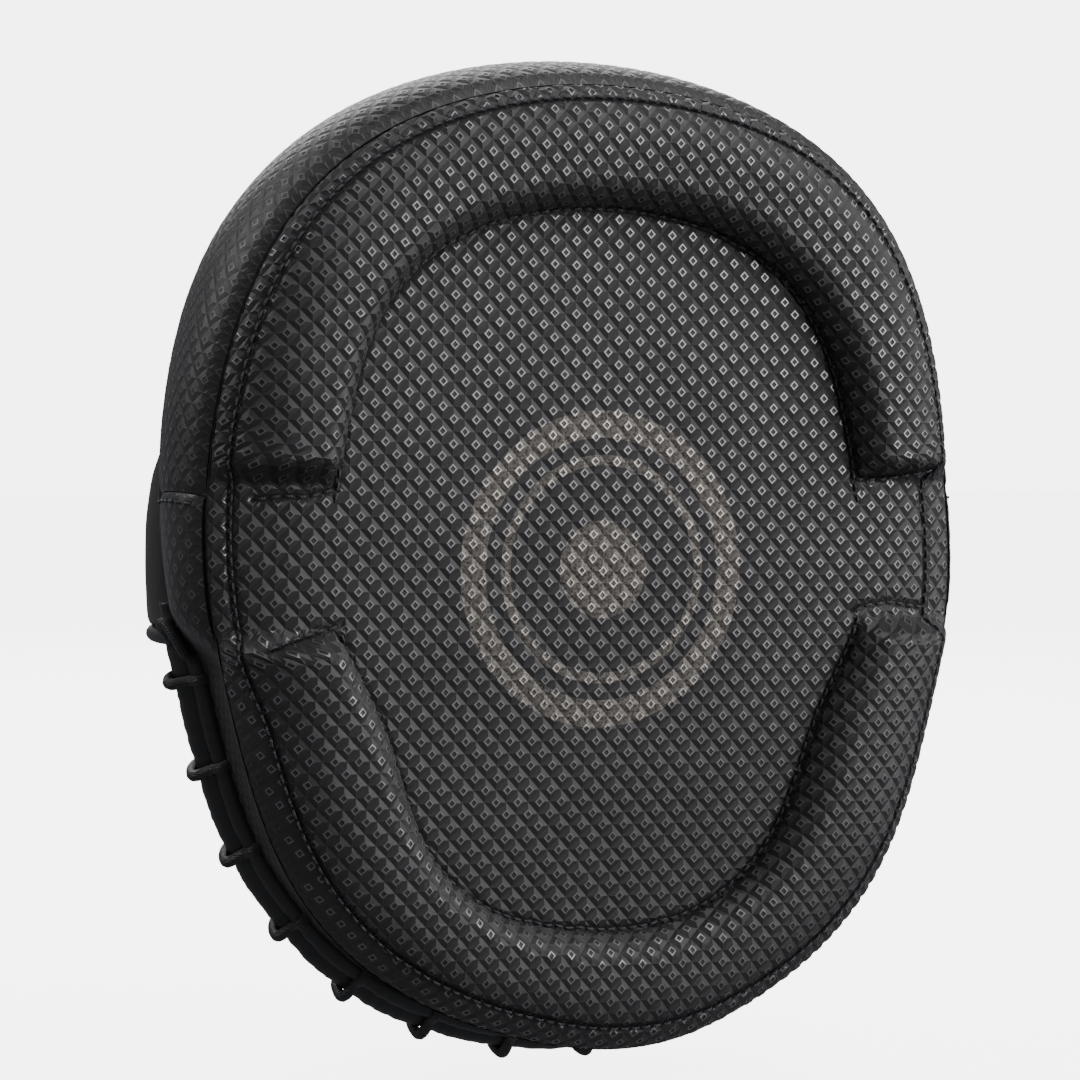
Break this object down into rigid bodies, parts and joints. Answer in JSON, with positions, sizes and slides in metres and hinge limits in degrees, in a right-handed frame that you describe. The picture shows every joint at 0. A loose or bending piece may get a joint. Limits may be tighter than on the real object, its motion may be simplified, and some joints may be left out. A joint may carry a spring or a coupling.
{
  "type": "focus mitt",
  "caption": "Curved hand-held striking pad with a raised rim round a recessed face, a laced edge, a finger hood, thumb sleeve, palm ball and wrist strap.",
  "frame": {"origin": "where the wearer's palm rests, on the outer face of the back panel", "axes": "+Z towards the finger end, -Y out of the striking face, +Y towards the wearer, +X towards the little finger of a left hand"},
  "size_m": [0.2259, 0.1111, 0.2633],
  "materials": {
    "face_leather": "embossed black coated leather, small raised squares, satin",
    "side_leather": "embossed black coated leather, fine grain, satin",
    "smooth_leather": "black grained leather, satin",
    "edge_leather": "black leather binding, satin",
    "strap_leather": "black leather strap, satin",
    "lace_leather": "black waxed lace",
    "soft_foam": "matt open foam",
    "firm_foam": "matt closed-cell foam",
    "dense_board": "matt dense sheet",
    "lining": "black knitted lining",
    "hook_tape": "black hook tape",
    "loop_tape": "black loop tape"
  },
  "bodies": {
    "pad": {"face_cover": "face_leather", "rim_foam_upper": "soft_foam", "rim_foam_lower": "soft_foam", "front_foam": "soft_foam", "core_foam": "firm_foam", "rear_foam": "firm_foam", "backing_sheet": "dense_board", "gusset_upper": "side_leather", "gusset_lower": "side_leather", "back_panel": "smooth_leather", "lacing_welt": "edge_leather", "lace": "lace_leather", "finger_hood_cover": "smooth_leather", "finger_hood_foam": "soft_foam", "finger_hood_lining": "lining", "finger_hood_binding": "edge_leather", "thumb_sleeve_cover": "smooth_leather", "thumb_sleeve_foam": "soft_foam", "thumb_sleeve_binding": "edge_leather", "palm_ball_cover": "smooth_leather", "palm_ball_core": "firm_foam", "wrist_pad_cover": "smooth_leather", "wrist_pad_foam": "soft_foam", "cuff_band": "smooth_leather", "cuff_loop_patch": "loop_tape", "strap_anchor": "edge_leather"},
    "strap": {"wrist_strap": "strap_leather", "strap_hook_patch": "hook_tape"}
  },
  "joints": [
    {"name": "strap_open", "type": "hinge", "parent": "pad", "child": "strap", "pos_m": [0.0491, 0.0045, -0.071], "axis": [0, 0, -1], "range_deg": [0, 85]}
  ]
}
